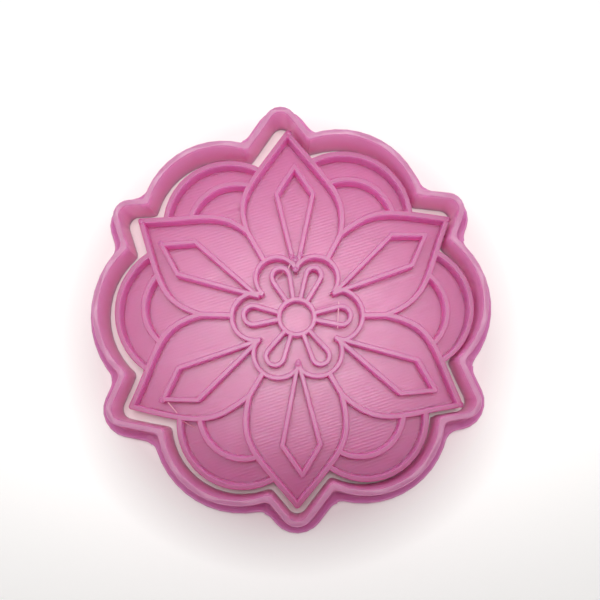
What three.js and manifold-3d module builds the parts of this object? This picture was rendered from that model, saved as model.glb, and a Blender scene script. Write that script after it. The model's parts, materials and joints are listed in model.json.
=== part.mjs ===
// A six-petal rosette biscuit stamp, lying face up inside its matching cutter ring.
// Millimetres and degrees. +Z is up, the foot of both pieces is at Z = 0, and +Y points
// along the petal at 90 degrees.

import * as THREE from 'three';
import { mergeVertices } from 'three/addons/utils/BufferGeometryUtils.js';
import Module from 'manifold-3d';

// Stamp: a flat plate with raised ribs on its face
const PLATE_THICKNESS = 2;
const RIB_HEIGHT = 3;
const RIB_CHAMFER = 0.15;
const OUTLINE_RIB_WIDTH = 0.8;
const FINE_RIB_WIDTH = 0.7;

// Cutter: a thin blade on a wide foot, open through the middle
const CUTTER_HEIGHT = 8;
const BLADE_WIDTH = 0.9;
const BLADE_CHAMFER = 0.15;
const WALL_ROOT_WIDTH = 1.2;
const WALL_FILLET = 0.4;
const FOOT_WIDTH = 2.75;
const FOOT_HEIGHT = 1.8;
const FOOT_CHAMFER = 0.3;

// Fit: room all round the stamp, more of it at the petal tips, and how the stamp lies in the cutter
const FIT_CLEARANCE = 1.2;
const TIP_CLEARANCE = 0.4;
const STAMP_SHIFT_X = 0.5;
const STAMP_SHIFT_Y = -0.3;
const STAMP_TURN = -1;

// The rosette is drawn freehand round six axes. A row's lean turns a feature off its axis, and
// the row's other numbers are shares of the sizes above the table.

// Petals: the tip's reach, and how far the sides are drawn out at the shoulder and at the belly
const PETAL_REACH = 28.1;
const SHOULDER_REACH = 20;
const SHOULDER_WIDTH = 6.5;
const BELLY_REACH = 19;
const BELLY_WIDTH = 8.5;
const PETALS = [
  { axis: 90, reach: 1.027, lean: 1.35, left: [1.14, 1.06], right: [0.9, 0.985] },
  { axis: 150, reach: 1.003, lean: -3.25, left: [1.01, 0.895], right: [0.965, 1.045] },
  { axis: 210, reach: 1, lean: -2.9, left: [1.065, 0.81], right: [1.08, 1.16] },
  { axis: 270, reach: 0.993, lean: -1.4, left: [0.975, 0.935], right: [1.08, 1.095] },
  { axis: 330, reach: 0.988, lean: 0, left: [0.955, 1.05], right: [0.915, 1.04] },
  { axis: 30, reach: 0.984, lean: 1.5, left: [1.105, 0.96], right: [0.775, 0.97] },
];

// Round lobes between the petals: the reach of an arc's centre, and its radius
const LOBE_REACH = 17.4;
const LOBE_RADIUS = 9.7;
const LOBES = [
  { axis: 0, reach: 0.989, lean: 3.4, radius: 0.969 },
  { axis: 60, reach: 0.966, lean: 3.2, radius: 1.062 },
  { axis: 120, reach: 1.017, lean: 4.6, radius: 1 },
  { axis: 180, reach: 0.96, lean: -4.5, radius: 1.082 },
  { axis: 240, reach: 1.023, lean: 1.5, radius: 0.969 },
  { axis: 300, reach: 1.052, lean: 2.7, radius: 0.928 },
];
const INNER_ARC_REACH = 16.5;
const INNER_ARC_RADIUS = 6.9;
const INNER_ARCS = [
  { axis: 0, reach: 0.97, lean: 2, radius: 1 },
  { axis: 60, reach: 0.994, lean: -0.4, radius: 1.029 },
  { axis: 120, reach: 0.988, lean: 3.2, radius: 1.058 },
  { axis: 180, reach: 0.988, lean: -7, radius: 1.014 },
  { axis: 240, reach: 1.006, lean: 0, radius: 0.957 },
  { axis: 300, reach: 1.042, lean: 1.7, radius: 0.942 },
];

// Seams: where the sides of two neighbouring petals run together
const SEAM_REACH = 14.2;
const SEAMS = [
  { axis: 0, reach: 0.958, lean: -0.2 },
  { axis: 60, reach: 1.021, lean: 0.7 },
  { axis: 120, reach: 1.077, lean: -1.5 },
  { axis: 180, reach: 1.035, lean: -3 },
  { axis: 240, reach: 0.977, lean: -2.6 },
  { axis: 300, reach: 0.954, lean: -1.5 },
];

// Long diamond inside each petal: its tails head for a crossing, and end at the foot's reach
const DIAMOND_TIP = 23.55;
const DIAMOND_WAIST = 19.2;
const DIAMOND_HALF_WIDTH = 2.83;
const DIAMOND_CROSSING = 6.8;
const DIAMOND_FOOT = 6.2;
const DIAMONDS = [
  { axis: 90, lean: -0.6, foot: 1.21 },
  { axis: 150, lean: 0.25, foot: 1 },
  { axis: 210, lean: 0.2, foot: 1.06 },
  { axis: 270, lean: 0.5, foot: 1.04 },
  { axis: 330, lean: 0.4, foot: 0.98 },
  { axis: 30, lean: 1.1, foot: 0.97 },
];

// Flower in the middle: six round lobes, open to each other inside their cusps
const FLOWER_LOBE_REACH = 6.3;
const FLOWER_LOBE_RADIUS = 3.6;
const FLOWER_CORE_RADIUS = 6.2;
const FLOWER_LOBES = [
  { axis: 0, reach: 0.97, lean: 1.2, radius: 1.1 },
  { axis: 60, reach: 1.045, lean: 2.4, radius: 0.955 },
  { axis: 120, reach: 1.065, lean: -4.4, radius: 0.9 },
  { axis: 180, reach: 1, lean: -1.8, radius: 1 },
  { axis: 240, reach: 0.98, lean: 1.5, radius: 1.04 },
  { axis: 300, reach: 0.96, lean: -0.7, radius: 1.05 },
];

// A teardrop in each lobe of the flower, with its foot on a ring
const TEAR_REACH = 6.8;
const TEAR_RADIUS = 1.37;
const TEAR_FOOT_HALF_WIDTH = 0.5;
const RING_RADIUS = 2.7;
const TEARS = [
  { axis: 0, reach: 1, lean: 0.3, radius: 1.03 },
  { axis: 60, reach: 1.02, lean: 6.5, radius: 0.85 },
  { axis: 120, reach: 0.975, lean: -9.7, radius: 1 },
  { axis: 180, reach: 0.98, lean: -4.1, radius: 1.05 },
  { axis: 240, reach: 1, lean: -0.5, radius: 1 },
  { axis: 300, reach: 1.015, lean: 0.1, radius: 0.96 },
];

// Fineness of the curves
const FLANK_STEPS = 10;
const LOBE_SIDES = 44;
const SMALL_SIDES = 28;
const TEAR_STEPS = 10;
const CORNER_STEPS = 6;
const ROUNDED_TURN = 45;

const PLA_PINK = 0xc96a94;
const PLA_ROUGHNESS = 0.42;
const PLA_METALNESS = 0;

const HALF_SECTOR = 180 / PETALS.length;
const MERGE_DISTANCE = 1e-4;
const STAMP_HEIGHT = PLATE_THICKNESS + RIB_HEIGHT;
const RIB_ROOT = PLATE_THICKNESS / 2;

const wasm = await Module();
wasm.setup();

const { degToRad, radToDeg } = THREE.MathUtils;

/** Point at a reach from the centre, at an angle in degrees. */
function polar(reach, angle) {
  return new THREE.Vector2(reach, 0).rotateAround(new THREE.Vector2(), degToRad(angle));
}

/** Point given along and to the left of an axis through the centre. */
function alongAxis(axis, along, left) {
  return new THREE.Vector2(along, left).rotateAround(new THREE.Vector2(), degToRad(axis));
}

/** Closed solid from a three.js geometry. */
function toSolid(geometry) {
  const bare = geometry.clone();
  bare.deleteAttribute('normal');
  bare.deleteAttribute('uv');
  const merged = mergeVertices(bare, MERGE_DISTANCE);
  const vertProperties = new Float32Array(merged.attributes.position.array);
  const triVerts = new Uint32Array(merged.index.array);
  return new wasm.Manifold(new wasm.Mesh({ numProp: 3, vertProperties, triVerts }));
}

/** three.js geometry from a closed solid. */
function toGeometry(solid) {
  const { vertProperties, triVerts } = solid.getMesh();
  const geometry = new THREE.BufferGeometry();
  geometry.setAttribute('position', new THREE.Float32BufferAttribute(vertProperties, 3));
  geometry.setIndex(Array.from(triVerts));
  geometry.computeVertexNormals();
  return geometry;
}

/** All the solids joined into one. */
function join(solids) {
  return solids.reduce((whole, solid) => whole.add(solid));
}

/** Points that stand off one corner, to the right of the walk for a positive distance. */
function standOffCorner(before, at, after, distance, rounded) {
  const inward = at.clone().sub(before).normalize();
  const outward = after.clone().sub(at).normalize();
  const start = new THREE.Vector2(inward.y, -inward.x);
  const end = new THREE.Vector2(outward.y, -outward.x);
  const turn = Math.atan2(inward.cross(outward), inward.dot(outward));
  if (rounded && turn * Math.sign(distance) > degToRad(ROUNDED_TURN)) {
    return Array.from({ length: CORNER_STEPS + 1 }, (_, step) =>
      start.clone().rotateAround(new THREE.Vector2(), (turn * step) / CORNER_STEPS)
        .multiplyScalar(distance).add(at));
  }
  const mitre = start.clone().add(end).normalize();
  return [mitre.multiplyScalar(distance / mitre.dot(start)).add(at)];
}

/** Closed outline, walked counter-clockwise, moved outward by a distance. */
function standOff(outline, distance, rounded) {
  const count = outline.length;
  return outline.flatMap((point, i) =>
    standOffCorner(outline.at(i - 1), point, outline[(i + 1) % count], distance, rounded));
}

/** One side of an open line, with square ends. */
function sideOfLine(line, distance) {
  const last = line.length - 1;
  return line.flatMap((point, i) => {
    const before = i > 0 ? line[i - 1] : point.clone().multiplyScalar(2).sub(line[1]);
    const after = i < last ? line[i + 1] : point.clone().multiplyScalar(2).sub(line[last - 1]);
    return standOffCorner(before, point, after, distance, true);
  });
}

/** Closed outline of a strip of even width along an open line. */
function strip(line, width) {
  return [...sideOfLine(line, width / 2), ...sideOfLine(line, -width / 2).reverse()];
}

/** Solid lofted through an outline: each level of the profile is [stand-off, height]. */
function loft(outline, profile) {
  const rings = profile.map(([distance, height]) =>
    standOff(outline, distance, false).map(({ x, y }) => [x, y, height]));
  const count = outline.length;
  const index = [];
  for (let level = 0; level < rings.length - 1; level += 1) {
    for (let i = 0; i < count; i += 1) {
      const low = level * count + i;
      const lowNext = level * count + ((i + 1) % count);
      index.push(low, lowNext, lowNext + count, low, lowNext + count, low + count);
    }
  }
  const topStart = (rings.length - 1) * count;
  const flat = (ring) => ring.map(([x, y]) => new THREE.Vector2(x, y));
  for (const [a, b, c] of THREE.ShapeUtils.triangulateShape(flat(rings[0]), [])) {
    index.push(a, c, b);
  }
  for (const [a, b, c] of THREE.ShapeUtils.triangulateShape(flat(rings.at(-1)), [])) {
    index.push(topStart + a, topStart + b, topStart + c);
  }
  const geometry = new THREE.BufferGeometry();
  geometry.setAttribute('position', new THREE.Float32BufferAttribute(rings.flat(2), 3));
  geometry.setIndex(index);
  return toSolid(geometry);
}

/** Circle as a closed outline. */
function circle(centre, radius, sides) {
  return Array.from({ length: sides }, (_, i) => polar(radius, (i * 360) / sides).add(centre));
}

/** Heights of a rib, from inside the plate to its chamfered top. */
const ribProfile = [
  [0, RIB_ROOT],
  [0, STAMP_HEIGHT - RIB_CHAMFER],
  [-RIB_CHAMFER, STAMP_HEIGHT],
];

/** Heights of the hollow inside a closed rib, which opens out by the chamfer at the top. */
const hollowProfile = [
  [0, 0],
  [0, STAMP_HEIGHT - RIB_CHAMFER],
  [RIB_CHAMFER, STAMP_HEIGHT],
  [RIB_CHAMFER, STAMP_HEIGHT + RIB_CHAMFER],
];

/** Heights of a straight cut right through the ribs. */
const clearProfile = [
  [0, 0],
  [0, STAMP_HEIGHT + RIB_CHAMFER],
];

/** Rib of even width along an open line. */
function ribAlong(line, width) {
  return loft(strip(line, width), ribProfile);
}

/** Round rib, revolved about an upright axis through its centre. */
function ribRing(centre, radius, width, sides) {
  const inner = radius - width / 2;
  const outer = radius + width / 2;
  const shoulder = STAMP_HEIGHT - RIB_CHAMFER;
  const profile = [
    [inner, RIB_ROOT],
    [outer, RIB_ROOT],
    [outer, shoulder],
    [outer - RIB_CHAMFER, STAMP_HEIGHT],
    [inner + RIB_CHAMFER, STAMP_HEIGHT],
    [inner, shoulder],
    [inner, RIB_ROOT],
  ].map(([x, y]) => new THREE.Vector2(x, y));
  const geometry = new THREE.LatheGeometry(profile, sides);
  geometry.rotateX(Math.PI / 2);
  geometry.translate(centre.x, centre.y, 0);
  return toSolid(geometry);
}

/** Where a drawn feature lies, at its row's share of a reach. */
const placeOf = (row, reach) => polar(row.reach * reach, row.axis + row.lean);

/** Row of a table that lies on an axis. */
function onAxis(table, axis) {
  return table.find((row) => row.axis === THREE.MathUtils.euclideanModulo(axis, 360));
}

/** One side of a petal, from its tip in to the seam on the side of a signed half sector. */
function petalSide({ axis }, tip, [shoulder, belly], halfSector) {
  const side = Math.sign(halfSector);
  return new THREE.CubicBezierCurve(
    tip,
    alongAxis(axis, SHOULDER_REACH, side * shoulder * SHOULDER_WIDTH),
    alongAxis(axis, BELLY_REACH, side * belly * BELLY_WIDTH),
    placeOf(onAxis(SEAMS, axis + halfSector), SEAM_REACH),
  ).getPoints(FLANK_STEPS);
}

/** Line round a petal: right seam, tip, left seam. The tip may be drawn out further. */
function petalLine(petal, tipDrawn = 0) {
  const tip = placeOf(petal, PETAL_REACH);
  tip.setLength(tip.length() + tipDrawn);
  const right = petalSide(petal, tip, petal.right, -HALF_SECTOR);
  const left = petalSide(petal, tip, petal.left, HALF_SECTOR);
  return [...right.reverse(), ...left.slice(1)];
}

/** Filled outline of a petal, down to the centre of the rosette. */
function petalOutline(petal, tipDrawn) {
  return [new THREE.Vector2(), ...petalLine(petal, tipDrawn)];
}

/** Solid with the rosette's outline, moved off its outer ribs' middle line and lofted by a profile. */
function rosetteBody(distance, tipDrawn, profile) {
  const outlines = [
    ...PETALS.map((petal) => petalOutline(petal, tipDrawn)),
    ...LOBES.map((lobe) => circle(placeOf(lobe, LOBE_REACH), lobe.radius * LOBE_RADIUS, LOBE_SIDES)),
  ];
  return join(outlines.map((outline) => loft(standOff(outline, distance, true), profile)));
}

/** Outer arcs and inner arcs of the lobes, ended inside the petals' ribs. */
function lobeRibs() {
  const arcs = (table, reach, radius) => table.map((row) =>
    ribRing(placeOf(row, reach), row.radius * radius, OUTLINE_RIB_WIDTH, LOBE_SIDES));
  const petals = join(PETALS.map((petal) =>
    loft(standOff(petalOutline(petal), OUTLINE_RIB_WIDTH / 4, true), clearProfile)));
  return join([
    ...arcs(LOBES, LOBE_REACH, LOBE_RADIUS),
    ...arcs(INNER_ARCS, INNER_ARC_REACH, INNER_ARC_RADIUS),
  ]).subtract(petals);
}

/** Rib from the meeting of two petals straight in to the flower. */
function seamRib(seam) {
  const meeting = placeOf(seam, SEAM_REACH);
  const lobe = onAxis(FLOWER_LOBES, seam.axis);
  const outside = meeting.clone().setLength(meeting.length() + OUTLINE_RIB_WIDTH);
  const rootReach = lobe.reach * FLOWER_LOBE_REACH + lobe.radius * FLOWER_LOBE_RADIUS;
  const root = meeting.clone().setLength(rootReach - FINE_RIB_WIDTH / 2);
  return ribAlong([outside, meeting, root], OUTLINE_RIB_WIDTH);
}

/** Long diamond whose two tails run in to a cusp of the flower. */
function diamondRib({ axis, lean, foot }) {
  const kite = [
    [DIAMOND_CROSSING, 0],
    [DIAMOND_WAIST, -DIAMOND_HALF_WIDTH],
    [DIAMOND_TIP, 0],
    [DIAMOND_WAIST, DIAMOND_HALF_WIDTH],
  ].map(([along, left]) => alongAxis(axis + lean, along, left));
  const half = FINE_RIB_WIDTH / 2;
  const core = loft(circle(new THREE.Vector2(), foot * DIAMOND_FOOT, SMALL_SIDES), clearProfile);
  return loft(standOff(kite, half, true), ribProfile)
    .subtract(loft(standOff(kite, -half, true), hollowProfile))
    .subtract(core);
}

/** Outline of six crossing circles, as one rib. */
function flowerRib() {
  const discs = (standOffDistance, profile) => join(FLOWER_LOBES.map((lobe) => loft(circle(
    placeOf(lobe, FLOWER_LOBE_REACH),
    lobe.radius * FLOWER_LOBE_RADIUS + standOffDistance,
    SMALL_SIDES,
  ), profile)));
  const half = FINE_RIB_WIDTH / 2;
  const core = loft(circle(new THREE.Vector2(), FLOWER_CORE_RADIUS, SMALL_SIDES), clearProfile);
  return discs(half, ribProfile).subtract(discs(-half, hollowProfile)).subtract(core);
}

/** Teardrop with a round outer end and straight sides that run in to the ring. */
function tearRib({ axis, lean, reach, radius }) {
  const turned = axis + lean;
  const roundReach = reach * TEAR_REACH;
  const roundRadius = radius * TEAR_RADIUS;
  const footAlong = Math.sqrt(RING_RADIUS ** 2 - TEAR_FOOT_HALF_WIDTH ** 2);
  const toFoot = new THREE.Vector2(footAlong - roundReach, TEAR_FOOT_HALF_WIDTH);
  const sweep = toFoot.angle() - Math.acos(roundRadius / toFoot.length());
  const round = Array.from({ length: TEAR_STEPS + 1 }, (_, step) => {
    const angle = radToDeg(sweep) * ((2 * step) / TEAR_STEPS - 1);
    const spot = polar(roundRadius, angle);
    return alongAxis(turned, roundReach + spot.x, spot.y);
  });
  return ribAlong([
    alongAxis(turned, footAlong, -TEAR_FOOT_HALF_WIDTH),
    ...round,
    alongAxis(turned, footAlong, TEAR_FOOT_HALF_WIDTH),
  ], FINE_RIB_WIDTH);
}

/** Stamp: the plate and every rib of the pattern in one piece. */
function stampSolid() {
  const plate = rosetteBody(OUTLINE_RIB_WIDTH / 2, 0, [[0, 0], [0, PLATE_THICKNESS]]);
  return join([
    plate,
    ...PETALS.map((petal) => ribAlong(petalLine(petal), OUTLINE_RIB_WIDTH)),
    lobeRibs(),
    ...SEAMS.map(seamRib),
    ...DIAMONDS.map(diamondRib),
    flowerRib(),
    ...TEARS.map(tearRib),
    ribRing(new THREE.Vector2(), RING_RADIUS, FINE_RIB_WIDTH, SMALL_SIDES),
  ]);
}

/** Cutter: a blade that follows the stamp's outline at the fit clearance, on a wide foot. */
function cutterSolid() {
  const wellStandOff = OUTLINE_RIB_WIDTH / 2 + FIT_CLEARANCE;
  const body = rosetteBody(wellStandOff, TIP_CLEARANCE, [
    [FOOT_WIDTH, 0],
    [FOOT_WIDTH, FOOT_HEIGHT - FOOT_CHAMFER],
    [FOOT_WIDTH - FOOT_CHAMFER, FOOT_HEIGHT],
    [WALL_ROOT_WIDTH + WALL_FILLET, FOOT_HEIGHT],
    [WALL_ROOT_WIDTH, FOOT_HEIGHT + WALL_FILLET],
    [BLADE_WIDTH, CUTTER_HEIGHT - BLADE_CHAMFER],
    [BLADE_WIDTH - BLADE_CHAMFER, CUTTER_HEIGHT],
  ]);
  const well = rosetteBody(wellStandOff, TIP_CLEARANCE, [
    [0, -BLADE_CHAMFER],
    [0, CUTTER_HEIGHT - BLADE_CHAMFER],
    [BLADE_CHAMFER, CUTTER_HEIGHT],
    [BLADE_CHAMFER, CUTTER_HEIGHT + BLADE_CHAMFER],
  ]);
  return body.subtract(well);
}

/** Named mesh of one printed piece. */
function printedPiece(name, solid) {
  const material = new THREE.MeshStandardMaterial({
    color: PLA_PINK,
    roughness: PLA_ROUGHNESS,
    metalness: PLA_METALNESS,
  });
  const mesh = new THREE.Mesh(toGeometry(solid), material);
  mesh.name = name;
  return mesh;
}

const cutter = printedPiece('cutter', cutterSolid());
const stamp = printedPiece('stamp', stampSolid());
stamp.position.set(STAMP_SHIFT_X, STAMP_SHIFT_Y, 0);
stamp.rotation.z = degToRad(STAMP_TURN);

// The origin is under the middle of the cutter's box, on the surface that both pieces lie on
const set = new THREE.Group();
set.add(cutter, stamp);
cutter.geometry.computeBoundingBox();
const middle = cutter.geometry.boundingBox.getCenter(new THREE.Vector3());
set.position.set(-middle.x, -middle.y, 0);

export default set;
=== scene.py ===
"""Pink printed biscuit cutter with its rosette stamp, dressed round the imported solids."""

import json
import logging
import math
from collections.abc import Iterable, Sequence
from dataclasses import dataclass, field, replace
from enum import Enum

import bmesh
import bpy
import numpy as np
from mathutils import Euler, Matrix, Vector

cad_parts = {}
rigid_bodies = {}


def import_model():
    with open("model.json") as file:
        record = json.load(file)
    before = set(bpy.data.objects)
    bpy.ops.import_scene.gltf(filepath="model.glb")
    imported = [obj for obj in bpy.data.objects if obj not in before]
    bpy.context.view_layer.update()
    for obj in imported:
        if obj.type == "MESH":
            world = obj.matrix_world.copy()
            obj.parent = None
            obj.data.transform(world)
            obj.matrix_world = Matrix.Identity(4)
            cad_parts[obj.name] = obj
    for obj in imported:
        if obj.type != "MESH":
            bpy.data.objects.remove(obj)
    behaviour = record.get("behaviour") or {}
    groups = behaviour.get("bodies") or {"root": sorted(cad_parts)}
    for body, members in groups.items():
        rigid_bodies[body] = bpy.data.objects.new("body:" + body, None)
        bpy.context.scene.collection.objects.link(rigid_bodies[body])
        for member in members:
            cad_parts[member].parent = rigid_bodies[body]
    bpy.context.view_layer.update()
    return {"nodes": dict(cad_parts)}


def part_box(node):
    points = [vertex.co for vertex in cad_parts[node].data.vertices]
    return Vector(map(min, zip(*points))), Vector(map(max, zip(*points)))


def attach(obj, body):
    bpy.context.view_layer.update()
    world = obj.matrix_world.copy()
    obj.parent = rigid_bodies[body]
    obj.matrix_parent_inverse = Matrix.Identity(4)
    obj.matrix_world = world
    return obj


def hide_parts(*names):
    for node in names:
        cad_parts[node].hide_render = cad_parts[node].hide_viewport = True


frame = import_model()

MM = 0.001
WELD = 1e-6
SLIVER = 2 * WELD
NEAR = 10 * WELD
# Least share along Z of a normal or an edge that counts as standing straight up.
STRAIGHT_UP = 0.9
# Radians that the wave texture turns in a metre at a scale of 1.
WAVE_TURN = 20
LOG = logging.getLogger("rosette_set")

Colour = tuple[float, float, float]
Point = tuple[float, float, float]
Size = tuple[float, float]


class Body(Enum):
    """Bodies of the frame that the dressed pieces ride on."""

    CUTTER = "cutter"
    STAMP = "stamp"


class Slot(Enum):
    """Material slots of the record."""

    CUTTER = "cutter_plastic"
    STAMP = "stamp_plastic"


class FaceMark(Enum):
    """Marks on the faces that the finish reads."""

    # Upright faces, which take the painted glow.
    UPRIGHT = "upright"
    # Tops, which take the painted light.
    CREST = "crest"
    THREAD = "thread"


class Element(Enum):
    """Elements of a mesh, by the names that selecting them takes."""

    POINT = "VERT"
    FACE = "FACE"


class Operation(Enum):
    """Operations of a math node."""

    MULTIPLY = "MULTIPLY"
    MAXIMUM = "MAXIMUM"


def linear(red: int, green: int, blue: int) -> Colour:
    """Linear colour of a screen colour.

    Args:
        red: Red, 0 to 255.
        green: Green, 0 to 255.
        blue: Blue, 0 to 255.

    Returns:
        The three channels as the shaders take them.
    """
    def channel(value: int) -> float:
        """One channel, off the screen's curve."""
        share = value / 255
        return share / 12.92 if share <= 0.04045 else ((share + 0.055) / 1.055) ** 2.4

    return channel(red), channel(green), channel(blue)


def in_mm(*lengths: float) -> tuple[float, ...]:
    """Lengths in metres of lengths in millimetres."""
    return tuple(length * MM for length in lengths)


def deselect_all() -> None:
    """Leaves nothing selected and no active object."""
    if bpy.context.object and bpy.context.object.mode != "OBJECT":
        bpy.ops.object.mode_set(mode="OBJECT")
    for obj in bpy.context.view_layer.objects.selected:
        obj.select_set(False)
    bpy.context.view_layer.objects.active = None


def activate(obj: bpy.types.Object) -> None:
    """Makes one object the only selected and the active one.

    Args:
        obj: The object.
    """
    deselect_all()
    obj.select_set(True)
    bpy.context.view_layer.objects.active = obj


def node_material(name: str) -> bpy.types.Material:
    """Makes a material that is ready for nodes.

    Args:
        name: Name of the material.

    Returns:
        The material, with its plain shader.
    """
    material = bpy.data.materials.new(name)
    material.use_nodes = True
    return material


def calculate(
    tree: bpy.types.NodeTree,
    operation: Operation,
    first: bpy.types.NodeSocket,
    second: bpy.types.NodeSocket,
) -> bpy.types.NodeSocket:
    """Joins two numbers in a math node.

    Args:
        tree: Node tree to add to.
        operation: What the node does.
        first: First number.
        second: Second number.

    Returns:
        The result.
    """
    node = tree.nodes.new("ShaderNodeMath")
    node.operation = operation.value
    tree.links.new(first, node.inputs[0])
    tree.links.new(second, node.inputs[1])
    return node.outputs[0]


def ramp(
    tree: bpy.types.NodeTree,
    value: bpy.types.NodeSocket,
    low: float,
    high: float,
    start: float = 0,
    stop: float = 1,
) -> bpy.types.NodeSocket:
    """Number that runs between two ends with another number.

    Args:
        tree: Node tree to add to.
        value: Number to follow.
        low: Result where the number is at its start, or below.
        high: Result where the number is at its stop, or above.
        start: Number at which the run begins.
        stop: Number at which the run ends.

    Returns:
        The number between the ends.
    """
    node = tree.nodes.new("ShaderNodeMapRange")
    node.inputs["From Min"].default_value = start
    node.inputs["From Max"].default_value = stop
    node.inputs["To Min"].default_value = low
    node.inputs["To Max"].default_value = high
    tree.links.new(value, node.inputs["Value"])
    return node.outputs["Result"]


def face_mark(tree: bpy.types.NodeTree, mark: FaceMark) -> bpy.types.NodeSocket:
    """Reads a mark off the faces.

    Args:
        tree: Node tree to add to.
        mark: The mark.

    Returns:
        How fully a face bears it, from 0 to 1.
    """
    node = tree.nodes.new("ShaderNodeAttribute")
    node.attribute_name = mark.value
    return node.outputs["Fac"]


@dataclass(frozen=True)
class PrintedPlastic:
    """Satin printed plastic: soft colour drift, a painted glow on the sides, painted light on the
    crests, patchy gloss, layer lines.

    Lengths are in metres.
    """

    name: str
    colour: Colour
    deep_colour: Colour
    # Painted glow: a brighter, hotter pink on upright faces, standing in for light that comes
    # through the thin plastic into the shaded sides.
    side_painted_glow: Colour
    # Painted light: a tone for the tops that is set to how the light falls on them, not the
    # plastic's own colour.
    crest_painted_light: Colour
    thread_colour: Colour
    roughness: float
    roughness_spread: float
    subsurface_reach: float
    subsurface_radius: Colour = (1.0, 0.65, 0.7)
    specular: float = 0.45
    crest_dullness: float = 0.1
    drift_size: float = 9 * MM
    drift_detail: float = 3
    patch_size: float = 2.5 * MM
    patch_detail: float = 2
    layer_height: float = 0.2 * MM
    layer_bump: float = 0.012 * MM
    layer_waver: float = 0.4
    grain_size: float = 0.35 * MM
    grain_bump: float = 0.006 * MM
    grain_detail: float = 2

    def material(self) -> bpy.types.Material:
        """Builds the finish.

        Returns:
            A node material that reads Object coordinates and the marks on the faces.
        """
        material = node_material(self.name)
        tree = material.node_tree
        shader = tree.nodes["Principled BSDF"]
        shader.inputs["Specular IOR Level"].default_value = self.specular
        shader.inputs["Subsurface Scale"].default_value = self.subsurface_reach
        shader.inputs["Subsurface Radius"].default_value = self.subsurface_radius
        place = tree.nodes.new("ShaderNodeTexCoord").outputs["Object"]
        tree.links.new(self._soaking(tree), shader.inputs["Subsurface Weight"])
        tree.links.new(self._colour(tree, place), shader.inputs["Base Color"])
        tree.links.new(self._roughness(tree, place), shader.inputs["Roughness"])
        tree.links.new(self._bump(tree, place), shader.inputs["Normal"])
        return material

    def _noise(
        self, tree: bpy.types.NodeTree, place: bpy.types.NodeSocket, size: float, detail: float
    ) -> bpy.types.NodeSocket:
        """Noise with features of a size.

        Args:
            tree: Node tree of the finish.
            place: Coordinates to read.
            size: Size of a feature.
            detail: Octaves of finer noise.

        Returns:
            The noise, from 0 to 1.
        """
        noise = tree.nodes.new("ShaderNodeTexNoise")
        noise.inputs["Scale"].default_value = 1 / size
        noise.inputs["Detail"].default_value = detail
        tree.links.new(place, noise.inputs["Vector"])
        return noise.outputs["Fac"]

    def _soaking(self, tree: bpy.types.NodeTree) -> bpy.types.NodeSocket:
        """Share of the light that soaks in: all of it, but none on the thin threads."""
        return ramp(tree, face_mark(tree, FaceMark.THREAD), 1, 0)

    def _colour(
        self, tree: bpy.types.NodeTree, place: bpy.types.NodeSocket
    ) -> bpy.types.NodeSocket:
        """Pink that drifts softly, with painted light on the crests, a painted glow on the upright
        sides and a paler tone on the threads.

        Args:
            tree: Node tree of the finish.
            place: Coordinates to read.

        Returns:
            The colour.
        """
        flats = tree.nodes.new("ShaderNodeMix")
        flats.data_type = "RGBA"
        flats.inputs["A"].default_value = (*self.deep_colour, 1)
        flats.inputs["B"].default_value = (*self.colour, 1)
        drift = self._noise(tree, place, self.drift_size, self.drift_detail)
        tree.links.new(drift, flats.inputs["Factor"])
        # Painted light on the tops.
        crests = self._marked(tree, flats.outputs["Result"], FaceMark.CREST, self.crest_painted_light)
        # Painted glow on the upright sides.
        sides = self._marked(tree, crests, FaceMark.UPRIGHT, self.side_painted_glow)
        return self._marked(tree, sides, FaceMark.THREAD, self.thread_colour)

    def _marked(
        self,
        tree: bpy.types.NodeTree,
        under: bpy.types.NodeSocket,
        mark: FaceMark,
        colour: Colour,
    ) -> bpy.types.NodeSocket:
        """Colour that takes over where a face bears a mark.

        Args:
            tree: Node tree of the finish.
            under: Colour of the faces without the mark.
            mark: The mark to read.
            colour: Colour of the faces that bear it in full.

        Returns:
            The blended colour.
        """
        blend = tree.nodes.new("ShaderNodeMix")
        blend.data_type = "RGBA"
        blend.inputs["B"].default_value = (*colour, 1)
        tree.links.new(under, blend.inputs["A"])
        tree.links.new(face_mark(tree, mark), blend.inputs["Factor"])
        return blend.outputs["Result"]

    def _roughness(
        self, tree: bpy.types.NodeTree, place: bpy.types.NodeSocket
    ) -> bpy.types.NodeSocket:
        """Roughness that differs in small patches, and is a little higher on the crests.

        Args:
            tree: Node tree of the finish.
            place: Coordinates to read.

        Returns:
            The roughness.
        """
        patches = self._noise(tree, place, self.patch_size, self.patch_detail)
        spread = self.roughness_spread
        satin = ramp(tree, patches, self.roughness - spread, self.roughness + spread)
        dulling = ramp(tree, face_mark(tree, FaceMark.CREST), 1, 1 + self.crest_dullness)
        return calculate(tree, Operation.MULTIPLY, satin, dulling)

    def _bump(
        self, tree: bpy.types.NodeTree, place: bpy.types.NodeSocket
    ) -> bpy.types.NodeSocket:
        """Layer lines up the walls, with a fine grain all over.

        Args:
            tree: Node tree of the finish.
            place: Coordinates to read.

        Returns:
            The bent normal.
        """
        layers = tree.nodes.new("ShaderNodeTexWave")
        layers.bands_direction = "Z"
        layers.inputs["Scale"].default_value = math.tau / (WAVE_TURN * self.layer_height)
        layers.inputs["Distortion"].default_value = self.layer_waver
        tree.links.new(place, layers.inputs["Vector"])
        lined = tree.nodes.new("ShaderNodeBump")
        lined.inputs["Distance"].default_value = self.layer_bump
        tree.links.new(layers.outputs["Fac"], lined.inputs["Height"])
        grain = self._noise(tree, place, self.grain_size, self.grain_detail)
        grained = tree.nodes.new("ShaderNodeBump")
        grained.inputs["Distance"].default_value = self.grain_bump
        tree.links.new(grain, grained.inputs["Height"])
        tree.links.new(lined.outputs["Normal"], grained.inputs["Normal"])
        return grained.outputs["Normal"]


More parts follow.
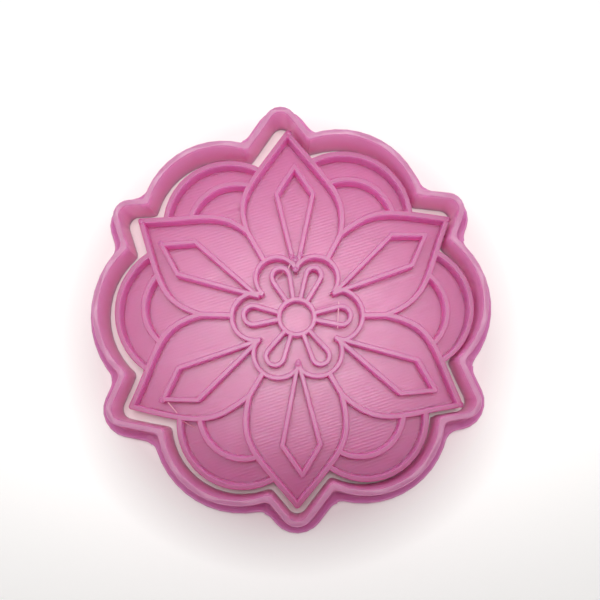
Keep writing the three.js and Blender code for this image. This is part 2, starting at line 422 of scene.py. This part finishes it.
WALL_PINK = PrintedPlastic(
    "pink_walls",
    colour=linear(197, 97, 157),
    deep_colour=linear(190, 91, 149),
    # Painted glow on the blade's upright faces.
    side_painted_glow=linear(243, 140, 189),
    # Painted sheen: the rim's top is paler than the plastic.
    crest_painted_light=linear(183, 114, 152),
    thread_colour=linear(230, 165, 188),
    roughness=0.34,
    roughness_spread=0.05,
    subsurface_reach=7 * MM,
)
RIB_PINK = replace(
    WALL_PINK,
    name="pink_ribs",
    # Painted glow on the ribs' upright faces.
    side_painted_glow=linear(250, 146, 206),
    # Painted shade: the rib tops are darker than the plastic, to offset the lamp's sheen there.
    crest_painted_light=linear(180, 96, 145),
    subsurface_reach=4 * MM,
)


@dataclass(frozen=True)
class Bead:
    """Drop of plastic left where the nozzle turned. Lengths are in metres."""

    middle: Point
    width: float
    height: float
    sides: int = 16
    rings: int = 10

    def build(self) -> bpy.types.Object:
        """Models the drop as a flattened ball.

        Returns:
            The drop, still loose.
        """
        deselect_all()
        bpy.ops.mesh.primitive_uv_sphere_add(
            segments=self.sides,
            ring_count=self.rings,
            radius=self.width / 2,
            location=self.middle,
        )
        bpy.ops.object.mode_set(mode="EDIT")
        bpy.ops.mesh.select_all(action="SELECT")
        bpy.ops.transform.resize(value=(1, 1, self.height / self.width))
        bpy.ops.object.mode_set(mode="OBJECT")
        return bpy.context.object


@dataclass(frozen=True)
class Strand:
    """Thread of plastic that the nozzle drew out between two places. Lengths are in metres."""

    start: Point
    end: Point
    thickness: float = 0.24 * MM
    waist: float = 0.7
    sag: float = 0.08 * MM
    sides: int = 10

    def build(self) -> bpy.types.Object:
        """Models the thread, which thins and sags in the middle.

        Returns:
            The thread, still loose.
        """
        start, end = Vector(self.start), Vector(self.end)
        along = end - start
        middle = (start + end) / 2
        deselect_all()
        bpy.ops.mesh.primitive_cylinder_add(
            vertices=self.sides,
            radius=self.thickness / 2,
            depth=along.length,
            location=middle,
            rotation=along.to_track_quat("Z", "Y").to_euler(),
        )
        bpy.ops.object.mode_set(mode="EDIT")
        bpy.ops.mesh.select_all(action="SELECT")
        bpy.ops.mesh.bisect(plane_co=middle, plane_no=along)
        bpy.ops.transform.resize(value=(self.waist,) * 3)
        bpy.ops.transform.translate(value=(0, 0, -self.sag))
        bpy.ops.object.mode_set(mode="OBJECT")
        return bpy.context.object

    def holds(self, points: np.ndarray) -> np.ndarray:
        """Which points lie on the thread.

        Args:
            points: Places, a row each.

        Returns:
            1 for a point on it, 0 for any other.
        """
        start, end = np.array(self.start), np.array(self.end)
        along = end - start
        share = np.clip((points - start) @ along / (along @ along), 0, 1)
        off = np.linalg.norm(points - start - share[:, None] * along, axis=1)
        return (off < self.thickness / 2 + self.sag).astype(float)


@dataclass
class PrintedPiece:
    """One printed piece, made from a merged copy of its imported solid.

    Lengths are in metres and angles in degrees.
    """

    node: str
    body: Body
    slot: Slot
    finish: PrintedPlastic
    crest_from: float
    smooth_angle: float = 52
    flat_weight: int = 80
    obj: bpy.types.Object = field(init=False)

    def build(self) -> bpy.types.Object:
        """Models the piece, dresses it and sets it on its body.

        Returns:
            The finished object.
        """
        self._take_solid()
        self._shape()
        self._smooth()
        self._dress()
        LOG.info("%s: %d faces", self.obj.name, len(self.obj.data.polygons))
        return self.obj

    def _take_solid(self) -> None:
        """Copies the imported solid's mesh and welds its triangles into one skin, less slivers."""
        mesh = frame["nodes"][self.node].data.copy()
        mesh.materials.clear()
        self.obj = bpy.data.objects.new(f"{self.node}_print", mesh)
        bpy.context.collection.objects.link(self.obj)
        activate(self.obj)
        bpy.ops.mesh.customdata_custom_splitnormals_clear()
        bpy.ops.object.mode_set(mode="EDIT")
        bpy.ops.mesh.select_all(action="SELECT")
        bpy.ops.mesh.remove_doubles(threshold=WELD)
        bpy.ops.mesh.dissolve_degenerate(threshold=SLIVER)
        bpy.ops.object.mode_set(mode="OBJECT")

    def _shape(self) -> None:
        """Adds the piece's own detail; the plain piece has none."""

    def _smooth(self) -> None:
        """Rounds the light over arcs, and keeps flats flat."""
        activate(self.obj)
        bpy.ops.object.shade_smooth_by_angle(angle=math.radians(self.smooth_angle))
        weighted = self.obj.modifiers.new("even_normals", "WEIGHTED_NORMAL")
        weighted.keep_sharp = True
        weighted.weight = self.flat_weight
        bpy.ops.object.modifier_apply(modifier=weighted.name)

    def _dress(self) -> None:
        """Gives the piece its finish and hands it to the frame."""
        middles, normals = self._face_facts()
        level = np.abs(normals[:, 2])
        # The upright share carries the painted glow, and the crest share carries the painted light
        # on the tops.
        self._mark_faces(FaceMark.UPRIGHT, 1 - level)
        self._mark_faces(FaceMark.CREST, level * (middles[:, 2] > self.crest_from))
        self._mark_faces(FaceMark.THREAD, self._thread_faces())
        self.obj.data.materials.append(self.finish.material())
        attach(self.obj, self.body.value)
        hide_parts(self.node)

    def _thread_faces(self) -> np.ndarray:
        """Faces of loose threads: none, a zero for each face of the plain piece."""
        return np.zeros(len(self.obj.data.polygons))

    def _mark_faces(self, mark: FaceMark, shares: np.ndarray) -> None:
        """Writes a mark on the faces.

        Args:
            mark: The mark.
            shares: How fully each face bears it, from 0 to 1.
        """
        layer = self.obj.data.attributes.new(mark.value, "FLOAT", "FACE")
        layer.data.foreach_set("value", shares)

    def _select(self, element: Element, wanted: np.ndarray) -> None:
        """Selects points or faces by a mask and opens edit mode on them.

        Args:
            element: What is selected.
            wanted: One flag for each.
        """
        activate(self.obj)
        bpy.ops.object.mode_set(mode="EDIT")
        bpy.ops.mesh.select_mode(type=element.value)
        bpy.ops.mesh.select_all(action="DESELECT")
        bpy.ops.object.mode_set(mode="OBJECT")
        mesh = self.obj.data
        elements = mesh.polygons if element is Element.FACE else mesh.vertices
        elements.foreach_set("select", wanted)
        bpy.ops.object.mode_set(mode="EDIT")

    def _cut(
        self, faces: np.ndarray, places: Iterable[Sequence[float]], square_to: Sequence[float]
    ) -> None:
        """Cuts faces along parallel planes, and leaves the others whole.

        Args:
            faces: One flag for each face.
            places: A place on each plane.
            square_to: Direction square to the planes.
        """
        self._select(Element.FACE, faces)
        bpy.ops.mesh.hide(unselected=True)
        for place in places:
            bpy.ops.mesh.select_all(action="SELECT")
            bpy.ops.mesh.bisect(plane_co=place, plane_no=square_to, threshold=WELD)
        bpy.ops.mesh.reveal(select=False)
        bpy.ops.object.mode_set(mode="OBJECT")

    def _points(self) -> np.ndarray:
        """Reads the place of every point.

        Returns:
            The places, a row for each point.
        """
        places = np.empty(len(self.obj.data.vertices) * 3)
        self.obj.data.vertices.foreach_get("co", places)
        return places.reshape(-1, 3)

    def _move_points(self, places: np.ndarray) -> None:
        """Moves every point to a new place.

        Args:
            places: The new places, a row for each point.
        """
        self.obj.data.vertices.foreach_set("co", places.ravel())
        self.obj.data.update()

    def _face_facts(self) -> tuple[np.ndarray, np.ndarray]:
        """Middle and normal of every face.

        Returns:
            Two arrays with a row for each face.
        """
        count = len(self.obj.data.polygons)
        middles, normals = np.empty(count * 3), np.empty(count * 3)
        self.obj.data.polygons.foreach_get("center", middles)
        self.obj.data.polygons.foreach_get("normal", normals)
        return middles.reshape(-1, 3), normals.reshape(-1, 3)


@dataclass
class Stamp(PrintedPiece):
    """Flat stamp, whose plate shows the slanting fill lines of its last layer.

    Lengths are in metres and angles in degrees.
    """

    beads: tuple[Bead, ...] = ()
    strands: tuple[Strand, ...] = ()
    fill_angle: float = 15.4
    fill_pitch: float = 0.48 * MM
    fill_depth: float = 0.008 * MM
    plate_top: float = 2 * MM
    tip_middle: float = 0.88 * MM
    tip_half_width: float = 0.33 * MM
    tip_ends: Size = (5.35 * MM, 6.15 * MM)
    tip_share: float = 0.12

    def _shape(self) -> None:
        """Blunts the notch tip, adds the nozzle's marks and draws the fill lines."""
        self._blunt_tip()
        self._leave_marks()
        self._fill_lines()

    def _blunt_tip(self) -> None:
        """Draws back the thin tip in the flower's upper notch, which prints as a blunt end."""
        points = self._points()
        low, high = self.tip_ends
        tip = np.abs(points[:, 0] - self.tip_middle) < self.tip_half_width
        tip &= (points[:, 1] > low) & (points[:, 1] < high)
        points[tip, 1] = high - self.tip_share * (high - points[tip, 1])
        self._move_points(points)

    def _leave_marks(self) -> None:
        """Fuses the drops and threads of the nozzle into the print."""
        marks = [mark.build() for mark in self.beads + self.strands]
        activate(marks[0])
        for mark in marks[1:]:
            mark.select_set(True)
        bpy.ops.object.join()
        left = bpy.context.object
        activate(self.obj)
        fuse = self.obj.modifiers.new("nozzle_marks", "BOOLEAN")
        fuse.operation = "UNION"
        fuse.solver = "EXACT"
        fuse.use_self = True
        fuse.object = left
        bpy.ops.object.modifier_apply(modifier=fuse.name)
        bpy.data.objects.remove(left)
        LOG.info("nozzle marks: %d beads, %d strands", len(self.beads), len(self.strands))

    def _fill_lines(self) -> None:
        """Cuts the plate along the fill lines and sinks the grooves between them."""
        turn = math.radians(self.fill_angle)
        across = Vector((-math.sin(turn), math.cos(turn), 0))
        low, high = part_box(self.node)
        lines = math.ceil((high - low).xy.length / (2 * self.fill_pitch))
        half_lines = range(-2 * lines, 2 * lines + 1)
        places = [across * (half_line * self.fill_pitch / 2) for half_line in half_lines]
        self._cut(self._plate_faces(), places, across)
        self._select(Element.POINT, self._groove_points(across))
        bpy.ops.transform.translate(value=(0, 0, -self.fill_depth))
        bpy.ops.object.mode_set(mode="OBJECT")

    def _plate_faces(self) -> np.ndarray:
        """Faces of the plate's upper side, between the ribs.

        Returns:
            One flag for each face.
        """
        middles, normals = self._face_facts()
        near = np.abs(middles[:, 2] - self.plate_top) < 2 * self.fill_depth
        return near & (normals[:, 2] > STRAIGHT_UP)

    def _groove_points(self, across: Vector) -> np.ndarray:
        """Points of the plate's upper side that lie in the middle of a groove.

        Args:
            across: Direction square to the fill lines.

        Returns:
            One flag for each point.
        """
        points = self._points()
        line = points @ np.array(across) / self.fill_pitch
        in_groove = np.abs(line - np.round(line)) * self.fill_pitch < NEAR
        return in_groove & (np.abs(points[:, 2] - self.plate_top) < NEAR)

    def _smooth(self) -> None:
        """Rounds the light as on any piece, but keeps the fill lines crisp."""
        super()._smooth()
        self._select(Element.FACE, self._plate_faces())
        bpy.ops.mesh.faces_shade_flat()
        bpy.ops.object.mode_set(mode="OBJECT")

    def _thread_faces(self) -> np.ndarray:
        """Faces of the nozzle's threads.

        Returns:
            1 for a face with all its corners on a thread, 0 for any other.
        """
        points = self._points()
        held = np.max([strand.holds(points) for strand in self.strands], axis=0)
        return np.array([held[list(face.vertices)].min() for face in self.obj.data.polygons])


@dataclass(frozen=True)
class Cusp:
    """Notch in the outline where two arcs of the blade meet."""

    apex: np.ndarray
    outward: np.ndarray
    slope: float

    @classmethod
    def at(cls, edge: bmesh.types.BMEdge) -> "Cusp":
        """Reads a notch off the upright edge at its bottom.

        Args:
            edge: The edge between the two arcs.

        Returns:
            The notch.
        """
        first, second = (np.array(face.normal.xy) for face in edge.link_faces)
        outward = (first + second) / np.linalg.norm(first + second)
        half_turn = math.acos(min(1, outward @ first / np.linalg.norm(first)))
        foot = min((vert.co for vert in edge.verts), key=lambda place: place.z)
        return cls(np.array(foot.xy), outward, math.tan(half_turn))

    @property
    def along(self) -> np.ndarray:
        """Direction square to the outward one, level with the table."""
        return np.array((-self.outward[1], self.outward[0]))

    def across(self, points: np.ndarray) -> np.ndarray:
        """Distance of each point to the side of the notch's middle line."""
        return (points[:, :2] - self.apex) @ self.along

    def out(self, points: np.ndarray) -> np.ndarray:
        """Distance of each point outward of the apex."""
        return (points[:, :2] - self.apex) @ self.outward


@dataclass
class Cutter(PrintedPiece):
    """Thin blade on its wide foot, open through the middle.

    Lengths are in metres and angles in degrees.
    """

    foot_top: float = 1.8 * MM
    least_turn: float = 25
    wall_round: float = 0.7 * MM
    foot_round: float = 1.3 * MM
    foot_from: float = 0.8 * MM
    reach: float = 5 * MM
    cut_step: float = 0.13 * MM

    def _shape(self) -> None:
        """Rounds the notches of the outline, which the nozzle can't leave sharp."""
        cusps = self._cusps()
        for cusp in cusps:
            self._cut_rows(cusp)
            self._round_off(cusp)
        LOG.info("cutter: %d notches rounded", len(cusps))

    def _cusps(self) -> list[Cusp]:
        """Finds the notches by the longest hollow upright edges on the outside of the blade.

        Returns:
            The notches, one for each place.
        """
        mesh = bmesh.new()
        mesh.from_mesh(self.obj.data)
        cusps: list[Cusp] = []
        for edge in sorted(mesh.edges, key=lambda edge: -edge.calc_length()):
            if not self._is_hollow(edge):
                continue
            cusp = Cusp.at(edge)
            new = all(np.linalg.norm(cusp.apex - other.apex) > self.reach for other in cusps)
            if new and cusp.outward @ cusp.apex > 0:
                cusps.append(cusp)
        mesh.free()
        return cusps

    def _is_hollow(self, edge: bmesh.types.BMEdge) -> bool:
        """Tells the edges that run up the blade in a hollow corner.

        Args:
            edge: An edge of the cutter.

        Returns:
            Whether it is one of them.
        """
        low, high = sorted(vert.co.z for vert in edge.verts)
        upright = high - low > STRAIGHT_UP * edge.calc_length()
        hollow = edge.calc_face_angle_signed(0) < -math.radians(self.least_turn)
        return upright and hollow and low > self.foot_top

    def _cut_rows(self, cusp: Cusp) -> None:
        """Cuts the faces round a notch into narrow upright rows.

        Args:
            cusp: The notch.
        """
        points = self._points()
        near = (np.abs(cusp.across(points)) < self.reach) & (np.abs(cusp.out(points)) < self.reach)
        faces = np.array([near[list(face.vertices)].any() for face in self.obj.data.polygons])
        rows = math.ceil(self.foot_round / self.cut_step)
        places = [
            (*(cusp.apex + cusp.along * (row * self.cut_step)), 0)
            for row in range(-rows, rows + 1)
        ]
        self._cut(faces, places, (*cusp.along, 0))

    def _round_off(self, cusp: Cusp) -> None:
        """Moves the rows of a notch out to a soft curve, wider on the foot than on the blade.

        Args:
            cusp: The notch.
        """
        points = self._points()
        side = np.abs(cusp.across(points))
        out = cusp.out(points)
        low = points[:, 2] < self.foot_top + WELD
        on_foot = low & (out - cusp.slope * side > self.foot_from)
        width = np.where(on_foot, self.foot_round, self.wall_round)
        moved = (side < width) & (np.abs(out) < self.reach)
        shift = cusp.slope * (width - side) ** 2 / (2 * width) * moved
        points[:, :2] += shift[:, None] * cusp.outward
        self._move_points(points)


# Levels and sizes of the nozzle's drops, in millimetres.
RIB_BEAD_LEVEL = 4.88
RIB_BEAD_HEIGHT = 0.5
SPECK_LEVEL = 2
SPECK_WIDTH = 0.4
SPECK_HEIGHT = 0.3


def rib_bead(x: float, y: float, width: float) -> Bead:
    """Drop on top of a rib, at a place and of a width in millimetres."""
    return Bead(in_mm(x, y, RIB_BEAD_LEVEL), *in_mm(width, RIB_BEAD_HEIGHT))


def plate_speck(x: float, y: float) -> Bead:
    """Small drop on the plate, at a place in millimetres."""
    return Bead(in_mm(x, y, SPECK_LEVEL), *in_mm(SPECK_WIDTH, SPECK_HEIGHT))


BEADS = (
    rib_bead(0.78, 28.05, 1),
    rib_bead(-22.4, 14.95, 1),
    rib_bead(24.6, 13.15, 0.9),
    rib_bead(24.65, -15.1, 0.9),
    rib_bead(-19.5, 11.4, 0.95),
    rib_bead(-19.9, -12.4, 0.95),
    rib_bead(0.39, 8.47, 0.8),
    rib_bead(0.98, 7.98, 1.1),
    rib_bead(1.86, 8.79, 0.7),
    rib_bead(0.92, 6.5, 0.95),
    rib_bead(0.65, -7.95, 0.95),
    plate_speck(-10.92, 22.78),
    plate_speck(-21.48, 6.91),
)
STRANDS = (
    Strand(in_mm(-19.28, -12.4, 4.9), in_mm(-17.36, -14.78, 4.9)),
    Strand(in_mm(-17.2, -15.46, 4.7), in_mm(-15.12, -16.89, 2.1)),
    Strand(in_mm(7.33, 2.08, 4.9), in_mm(6.78, -3.69, 4.9)),
    Strand(in_mm(-0.69, 6.36, 4.9), in_mm(-2.1, 5.4, 2.1)),
    Strand(in_mm(0.36, 7.71, 4.9), in_mm(-0.31, 6.42, 4.9)),
)


@dataclass
class Studio:
    """Camera, soft light and pale floor. Lengths are in metres, angles in degrees."""

    eye: Point = (0.239 * MM, -13.733 * MM, 122.71 * MM)
    look: Point = (7.494, -0.218, -2.586)
    lens: float = 46.98
    near_clip: float = 1 * MM
    floor_size: float = 3.0
    floor_gap: float = 0.05 * MM
    floor_colour: Colour = (0.86, 0.83, 0.81)
    floor_roughness: float = 0.7
    floor_glow: float = 0.4
    glow_from: float = 31 * MM
    glow_full: float = 40 * MM
    sky_strength: float = 0.54
    card_edge: float = -15 * MM
    card_size: Size = (120 * MM, 110 * MM)
    card_height: float = 126 * MM
    card_colour: Colour = (0.05, 0.05, 0.05)
    lamp_place: Point = (1 * MM, 18 * MM, 220 * MM)
    lamp_aim: Point = (1 * MM, 12 * MM, 0)
    lamp_size: Size = (90 * MM, 65 * MM)
    lamp_power: float = 0.0235
    lamp_spread: float = 40

    def build(self) -> None:
        """Sets the view, the camera, the floor, the sky, the card and the lamp."""
        bpy.context.scene.view_settings.view_transform = "Standard"
        self._camera()
        self._floor()
        self._world()
        self._card()
        self._lamp()
        LOG.info("studio: camera, floor, sky and a lamp")

    def _camera(self) -> None:
        """Places the camera where the photographer stood."""
        camera = bpy.data.cameras.new("camera")
        camera.lens = self.lens
        camera.clip_start = self.near_clip
        obj = bpy.data.objects.new("camera", camera)
        obj.location = self.eye
        obj.rotation_euler = Euler([math.radians(angle) for angle in self.look])
        bpy.context.collection.objects.link(obj)
        bpy.context.scene.camera = obj

    def _floor(self) -> None:
        """Lays the pale floor that the set stands on."""
        deselect_all()
        bpy.ops.mesh.primitive_plane_add(size=self.floor_size, location=(0, 0, -self.floor_gap))
        floor = bpy.context.object
        floor.name = "floor"
        material = node_material("pale_floor")
        tree = material.node_tree
        shader = tree.nodes["Principled BSDF"]
        shader.inputs["Base Color"].default_value = (*self.floor_colour, 1)
        shader.inputs["Roughness"].default_value = self.floor_roughness
        shader.inputs["Emission Color"].default_value = (1, 1, 1, 1)
        glow = calculate(tree, Operation.MULTIPLY, self._seen(tree), self._outside(tree))
        tree.links.new(glow, shader.inputs["Emission Strength"])
        floor.data.materials.append(material)

    def _card(self) -> None:
        """Hangs a dark card behind the camera, which keeps the sheen off the near petal."""
        deselect_all()
        width, length = self.card_size
        middle = (0, self.card_edge - length / 2, self.card_height)
        bpy.ops.mesh.primitive_plane_add(size=1, location=middle)
        card = bpy.context.object
        card.name = "dark_card"
        bpy.ops.transform.resize(value=(width, length, 1))
        bpy.ops.object.transform_apply(location=False, rotation=False, scale=True)
        card.visible_camera = False
        material = node_material("dark_card")
        shader = material.node_tree.nodes["Principled BSDF"]
        shader.inputs["Base Color"].default_value = (*self.card_colour, 1)
        card.data.materials.append(material)

    def _world(self) -> None:
        """Gives an even white sky, which the camera sees as plain white."""
        world = bpy.data.worlds.new("sky")
        bpy.context.scene.world = world
        world.use_nodes = True
        tree = world.node_tree
        background = tree.nodes["Background"]
        background.inputs["Color"].default_value = (1, 1, 1, 1)
        strength = ramp(tree, self._seen(tree), self.sky_strength, 1)
        tree.links.new(strength, background.inputs["Strength"])

    def _seen(self, tree: bpy.types.NodeTree) -> bpy.types.NodeSocket:
        """Marks the rays that show a surface: from the camera, a mirror or through glass.

        Args:
            tree: Node tree that asks.

        Returns:
            1 for such a ray, 0 for one that only brings light.
        """
        path = tree.nodes.new("ShaderNodeLightPath").outputs
        mirrored = calculate(
            tree, Operation.MAXIMUM, path["Is Camera Ray"], path["Is Glossy Ray"])
        return calculate(tree, Operation.MAXIMUM, mirrored, path["Is Transmission Ray"])

    def _outside(self, tree: bpy.types.NodeTree) -> bpy.types.NodeSocket:
        """Glow of the floor, which begins outside the cutter and leaves its well alone.

        Args:
            tree: Node tree of the floor.

        Returns:
            The strength of the glow.
        """
        place = tree.nodes.new("ShaderNodeTexCoord")
        away = tree.nodes.new("ShaderNodeVectorMath")
        away.operation = "LENGTH"
        tree.links.new(place.outputs["Object"], away.inputs[0])
        return ramp(
            tree, away.outputs["Value"], 0, self.floor_glow, self.glow_from, self.glow_full)

    def _lamp(self) -> None:
        """Hangs the soft lamp over the far petal."""
        light = bpy.data.lights.new("softbox", "AREA")
        light.shape = "RECTANGLE"
        light.size, light.size_y = self.lamp_size
        light.energy = self.lamp_power
        light.spread = math.radians(self.lamp_spread)
        lamp = bpy.data.objects.new("softbox", light)
        lamp.location = self.lamp_place
        beam = Vector(self.lamp_aim) - Vector(self.lamp_place)
        lamp.rotation_euler = beam.to_track_quat("-Z", "Y").to_euler()
        bpy.context.collection.objects.link(lamp)


def main() -> None:
    """Builds the cutter, the stamp and the studio."""
    logging.basicConfig(level=logging.INFO, format="%(name)s: %(message)s")
    deselect_all()
    Cutter("cutter", Body.CUTTER, Slot.CUTTER, WALL_PINK, crest_from=7 * MM).build()
    Stamp(
        "stamp",
        Body.STAMP,
        Slot.STAMP,
        RIB_PINK,
        crest_from=2.5 * MM,
        smooth_angle=40,
        beads=BEADS,
        strands=STRANDS,
    ).build()
    Studio().build()


if __name__ == "__main__":
    main()
